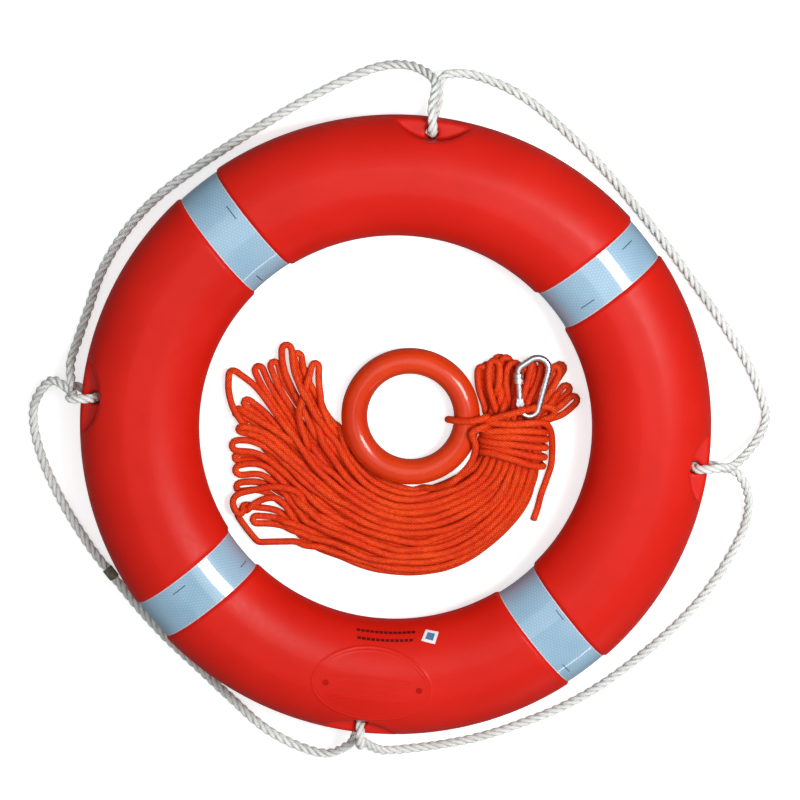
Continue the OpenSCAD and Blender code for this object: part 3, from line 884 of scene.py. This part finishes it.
def make_tape(k):
    rows, cols = 180, 20
    angle = np.linspace(0, 2 * math.pi, rows, endpoint=False)
    off = np.linspace(-TAPE_HALF, TAPE_HALF, cols)
    a, o = np.meshgrid(angle, off, indexing="ij")
    top, bottom = tape_patch_point(2.3, a, o, k), tape_patch_point(3.3, a, o, k)
    verts = np.concatenate([top, bottom[:, ::-1]], 1)
    count = 2 * cols
    faces = grid_faces(rows, count, wrap_rows=True, wrap_cols=True)
    r, z = oval_point(2.3, np.linspace(0, 2 * math.pi, rows + 1))
    arc = np.concatenate([[0], np.cumsum(np.hypot(np.diff(r), np.diff(z)))]) * MM
    v_of = np.concatenate([off, off[::-1]]) * MM
    uvs = []
    for f in faces:
        row, col = divmod(f[0], count)
        v0, v1 = v_of[col], v_of[(col + 1) % count]
        uvs += [(arc[row], v0), (arc[row], v1), (arc[row + 1], v1), (arc[row + 1], v0)]
    tape = add_mesh(f"tape_film_{k + 1}", verts.reshape(-1, 3), faces, TAPE, "lifebuoy", uvs)
    tape.data.set_sharp_from_angle(angle=math.radians(60))
    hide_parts(f"reflective_tape_{k + 1}")


def slab(name, outer, inner, material, body):
    """A thin closed piece between two grids of points."""
    rows, cols = outer.shape[:2]
    verts = np.concatenate([outer.reshape(-1, 3), inner.reshape(-1, 3)])
    faces = grid_faces(rows, cols)
    under = [f[::-1] for f in grid_faces(rows, cols, start=rows * cols)]
    edge = (
        [(0, c) for c in range(cols)] + [(r, cols - 1) for r in range(1, rows)]
        + [(rows - 1, c) for c in range(cols - 2, -1, -1)] + [(r, 0) for r in range(rows - 2, 0, -1)]
    )
    ids = [r * cols + c for r, c in edge]
    walls = [
        [ids[i], ids[i] + rows * cols, ids[(i + 1) % len(ids)] + rows * cols, ids[(i + 1) % len(ids)]]
        for i in range(len(ids))
    ]
    obj = add_mesh(name, verts, faces + under + walls, material, body)
    face_outwards(obj)
    obj.data.set_sharp_from_angle(angle=math.radians(40))
    return obj


def ring_patch(name, at, size, turn, material, lift=0.25, body="lifebuoy", cells=8):
    """A thin rectangle laid on the ring's upper surface at a plan position."""
    r0, a0 = math.hypot(*at), math.atan2(at[1], at[0])
    t0 = math.acos(max(-1, min(1, (r0 - TUBE_C) / TUBE_A)))
    per_t = math.hypot(TUBE_A * math.sin(t0), TUBE_B * math.cos(t0))
    u, v = np.meshgrid(np.linspace(-0.5, 0.5, cells), np.linspace(-0.5, 0.5, cells), indexing="ij")
    u, v = u * size[0], v * size[1]
    c, s = math.cos(math.radians(turn)), math.sin(math.radians(turn))
    across, along = u * c - v * s, u * s + v * c

    def at_lift(gap):
        r, z = oval_point(-gap, t0 - along / per_t)
        a = a0 + across / r0
        return np.stack([r * np.cos(a), r * np.sin(a), z], -1)

    return slab(name, at_lift(lift), at_lift(-0.3), material, body)


for tape_no in range(4):
    make_tape(tape_no)

# Short plain dashes on the tapes: tape, angle round the tube, sideways place, length
TAPE_DASHES = [
    (1, 70, -15.5, 19), (1, 151, 9, 18), (0, 45, 11.5, 19), (0, 116, -12.5, 20),
    (2, 81, -14.5, 19), (2, 158, 12, 16), (3, 103, 20, 15), (3, 50, -14, 17),
]


def make_tape_dashes():
    for number, (k, angle, off, long) in enumerate(TAPE_DASHES):
        mid = math.radians(angle)
        half_angle = long / 2 / math.hypot(TUBE_A * math.sin(mid), TUBE_B * math.cos(mid))
        around = np.linspace(mid - half_angle, mid + half_angle, 8)
        across = np.linspace(off - 0.6, off + 0.6, 3)
        a, o = np.meshgrid(around, across, indexing="ij")
        piece = slab(
            f"tape_dash_{number + 1}", tape_patch_point(2.2, a, o, k), tape_patch_point(2.6, a, o, k),
            TAPE_MARK, "lifebuoy",
        )


make_tape_dashes()

STICKER_AT, STICKER_SIDE, STICKER_TURN = (67, -228.5), 16, 25
sticker = ring_patch("info_sticker", STICKER_AT, (STICKER_SIDE, STICKER_SIDE), STICKER_TURN, STICKER)
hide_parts("info_label")
sticker_mark = ring_patch("info_sticker_mark", STICKER_AT, (9, 9), STICKER_TURN, STICKER_MARK, lift=0.4)

# Two rows of plain printed dashes beside the sticker: first angle, radius, count
PRINT_ROWS = [(-93.8, 232.5, 13), (-93.3, 239.5, 12)]
PRINT_PITCH, PRINT_SIZE = 1.3, (4.3, 3.6)


def make_print():
    for row, (start, radius, count) in enumerate(PRINT_ROWS):
        for i in range(count):
            a = math.radians(start + PRINT_PITCH * i)
            at = (radius * math.cos(a), radius * math.sin(a))
            piece = ring_patch(f"print_dash_{row + 1}_{i + 1}", at, PRINT_SIZE, 0, PRINT, lift=0.12, cells=4)


make_print()

# Plain raised bars inside the oval line: place up the oval, share of its width, bar length, bar height
PLAQUE_BARS = [
    (0.62, 0.42, 9, 1.5), (0.42, 0.58, 11, 1.5), (0.22, 0.70, 8, 1.5), (0.02, 0.62, 10, 1.5),
    (-0.18, 0.60, 12, 1.5), (-0.52, 0.72, 6.5, 6.5),
]


def make_plaque_bars():
    for row, (up, share, long, high) in enumerate(PLAQUE_BARS):
        half = PLAQUE_HALF[0] * share
        count = int(2 * half / (long + 2.5))
        for i in range(count):
            x = PLAQUE_C[0] + (i - (count - 1) / 2) * (long + 2.5)
            # the fine rows bow upwards and the tall row downwards, as the oval does
            sag = (-6 if high < 3 else 7) * ((x - PLAQUE_C[0]) / PLAQUE_HALF[0]) ** 2
            at = (x, PLAQUE_C[1] + up * PLAQUE_HALF[1] + sag)
            piece = ring_patch(f"plaque_bar_{row + 1}_{i + 1}", at, (long, high), 0, SHELL, lift=0.4, cells=4)


make_plaque_bars()


# ---- fill plugs ----
def make_plugs():
    for number, degrees in enumerate((-99, -78)):
        a = math.radians(degrees)
        centre = np.array([295 * math.cos(a), 295 * math.sin(a)])
        rows, cols = 7, 28
        radius = np.array([3.6, 3.6, 3.4, 2.4, 2.2, 1.2, 0.05])
        height = RING_H + np.array([-1.0, 0.25, 0.45, 0.45, 0.1, 0, 0])
        around = np.linspace(0, 2 * math.pi, cols, endpoint=False)
        verts = [
            (centre[0] + radius[i] * math.cos(b), centre[1] + radius[i] * math.sin(b), height[i])
            for i in range(rows) for b in around
        ]
        faces = grid_faces(rows, cols, wrap_cols=True) + [list(range(cols))[::-1]]
        faces.append([(rows - 1) * cols + k for k in range(cols)])
        piece = add_mesh(f"fill_plug_{number + 1}", verts, faces, PLUG, "lifebuoy")
        piece.data.set_sharp_from_angle(angle=math.radians(35))
        if number == 0:
            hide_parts("fill_plugs")


make_plugs()


# ---- hand ring ----
def make_hand_ring():
    rows, cols = 192, 48
    a = np.linspace(0, 2 * math.pi, rows, endpoint=False)
    b = np.linspace(0, 2 * math.pi, cols, endpoint=False)
    a, b = np.meshgrid(a, b, indexing="ij")
    # a fine parting line runs round the outside and inside
    seam = 0.12 * np.exp(-((np.sin(b) * HAND_TUBE_R / 0.8) ** 2))
    r = HAND_TUBE_R - 0.05 + seam
    verts = np.stack(
        [(HAND_R + r * np.cos(b)) * np.cos(a), (HAND_R + r * np.cos(b)) * np.sin(a), r * np.sin(b)], -1
    ).reshape(-1, 3)
    m = np.array(hand_ring_matrix())
    verts = verts @ m[:3, :3].T + m[:3, 3]
    faces = [f[::-1] for f in grid_faces(rows, cols, wrap_rows=True, wrap_cols=True)]
    ring = add_mesh("hand_ring_grip", verts, faces, GLOSS, "line_kit")
    face_outwards(ring)
    ring.data.shade_smooth()
    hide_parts("hand_ring")


make_hand_ring()


# ---- carabiner ----
HOOK_AT, HOOK_TURN, SMALL_BEND_R, GATE_LINE, END_L, GATE_L = (149, 29.5, 30.7), -4.6, 10.5, 285, 5, 32
SLEEVE_L, SLEEVE_TOP = 12.0, GATE_L + 3.3


def gate_matrix():
    def way(a):
        return Vector((math.cos(math.radians(a)), math.sin(math.radians(a)), 0))

    hinge = SMALL_BEND_R * way(GATE_LINE - 90) - END_L * way(GATE_LINE)
    hook = (
        Matrix.Translation(HOOK_AT) @ Matrix.Rotation(math.radians(HOOK_TURN), 4, "Z")
        @ Matrix.Translation((0, SMALL_BEND_R, 0))
    )
    return hook @ Matrix.Translation(hinge) @ Matrix.Rotation(math.radians(GATE_LINE - 180), 4, "Z")


def make_sleeve():
    """A knurled sleeve turned about the gate, +X of the gate's frame."""
    # place along the sleeve, radius, and 1 where it is knurled
    rows_at = [
        (0.0, 3.7, 0), (0.0, 5.3, 0), (0.5, 5.8, 0), (1.2, 5.85, 1), (5.6, 5.85, 1), (6.2, 5.7, 0),
        (6.5, 5.4, 0), (7.0, 5.4, 0), (7.4, 5.85, 0), (9.0, 5.9, 0), (11.3, 5.6, 0), (12.0, 5.3, 0),
        (12.0, 4.95, 0), (8.6, 4.95, 0), (8.5, 3.7, 0),
    ]
    cols = 96
    around = np.linspace(0, 2 * math.pi, cols, endpoint=False)
    verts = []
    for x, r, rough in rows_at:
        ridge = 0.22 * rough * np.abs(np.sin(16 * around))
        along, reach = SLEEVE_TOP - SLEEVE_L + x, r - 0.2 * rough + ridge
        verts += [(along, q * math.cos(b), q * math.sin(b)) for b, q in zip(around, reach)]
    m = np.array(gate_matrix())
    verts = np.array(verts) @ m[:3, :3].T + m[:3, 3]
    faces = grid_faces(len(rows_at), cols, wrap_rows=True, wrap_cols=True)
    sleeve = add_mesh("screw_sleeve_knurled", verts, faces, SLEEVE, "sleeve")
    face_outwards(sleeve)
    sleeve.data.shade_smooth()
    sleeve.data.set_sharp_from_angle(angle=math.radians(40))
    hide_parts("screw_sleeve")


make_sleeve()

for node, material in (
    ("carabiner_body", STEEL), ("carabiner_gate", STEEL), ("gate_pin", SLEEVE), ("gate_spring", STEEL),
    ("foam_core", FOAM),
):
    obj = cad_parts[node]
    obj.data.materials.clear()
    obj.data.materials.append(material)
    obj.data.shade_smooth()
    obj.data.set_sharp_from_angle(angle=math.radians(32))


# ---- floor and light ----
# Half side of the floor (m), its drop below the object (m), and the backdrop's inner radius and rise (mm)
FLOOR_HALF, FLOOR_DROP = 6.0, 0.0004
BACKDROP_R, BACKDROP_RISE = 4400, 3000


def make_stage():
    mesh = bpy.data.meshes.new("floor")
    corners = [(x * FLOOR_HALF, y * FLOOR_HALF, 0) for x, y in ((-1, -1), (1, -1), (1, 1), (-1, 1))]
    mesh.from_pydata(corners, [], [(0, 1, 2, 3)])
    floor = bpy.data.objects.new("floor", mesh)
    SCENE.collection.objects.link(floor)
    floor.location.z = -FLOOR_DROP
    m = Nodes("floor_paper", Roughness=0.9)
    m.set(Base_Color=m.mix(m.ramp(m.noise(3.0), 0.3, 0.7), rgb(0.86, 0.86, 0.86), rgb(0.88, 0.88, 0.88)))
    m.set(Specular_IOR_Level=0.1, Emission_Color=rgb(1, 1, 1), Emission_Strength=0.55)
    mesh.materials.append(m.material)
    # the paper is lit but throws no light back up, so the under sides stay deep
    floor.visible_diffuse = False
    floor.visible_glossy = False
    # the paper curves up far behind the object, so a low view has no dark edge; it blocks and throws no light
    rise = np.radians(np.linspace(0, 90, 10))[:, None]
    round_it = np.radians(np.arange(0, 360, 5))[None, :]
    reach = BACKDROP_R + BACKDROP_RISE * np.sin(rise)
    height = BACKDROP_RISE * (1 - np.cos(rise)) - 2 + 0 * round_it
    verts = np.stack([reach * np.cos(round_it), reach * np.sin(round_it), height], 2).reshape(-1, 3)
    faces = grid_faces(rise.size, round_it.size, wrap_cols=True)
    backdrop = add_mesh("backdrop", verts, faces, m.material, None)
    backdrop.visible_diffuse = False
    backdrop.visible_glossy = False
    backdrop.visible_shadow = False


def area_light(name, place, size, power):
    """A white rectangle of light (m, W) that faces the middle of the ring."""
    data = bpy.data.lights.new(name, "AREA")
    data.shape, data.size, data.size_y, data.energy = "RECTANGLE", size[0], size[1], power
    light = bpy.data.objects.new(name, data)
    SCENE.collection.objects.link(light)
    light.location = place
    light.rotation_euler = (-Vector(place)).to_track_quat("-Z", "Y").to_euler()


make_stage()
# The main softbox shows as the white band over two of the tapes; a low strip edges the tape at the upper left
area_light("softbox_main", (1.09, 0.52, 2.25), (0.62, 0.9), 47)
area_light("low_strip", (1.36, -1.77, 0.56), (0.9, 0.1), 3)
area_light("overhead", (-0.3, 0.5, 3.4), (2.4, 2.4), 22)


# Strength of the world's light at and below the horizon, and high up
WORLD_LOW, WORLD_HIGH, WORLD_HIGH_FROM = 0.2, 0.52, 0.9


def make_world():
    world = bpy.data.worlds.new("studio")
    SCENE.world = world
    world.use_nodes = True
    tree = world.node_tree
    place = tree.nodes.new("ShaderNodeTexCoord")
    split = tree.nodes.new("ShaderNodeSeparateXYZ")
    fade = tree.nodes.new("ShaderNodeMapRange")
    tree.links.new(place.outputs["Generated"], split.inputs[0])
    tree.links.new(split.outputs[2], fade.inputs["Value"])
    fade.inputs["From Min"].default_value = 0.0
    fade.inputs["From Max"].default_value = WORLD_HIGH_FROM
    fade.inputs["To Min"].default_value = WORLD_LOW
    fade.inputs["To Max"].default_value = WORLD_HIGH
    tree.links.new(fade.outputs[0], tree.nodes["Background"].inputs[1])
    tree.nodes["Background"].inputs[0].default_value = (0.96, 0.98, 1.0, 1.0)


make_world()
SCENE.view_settings.view_transform = "Standard"
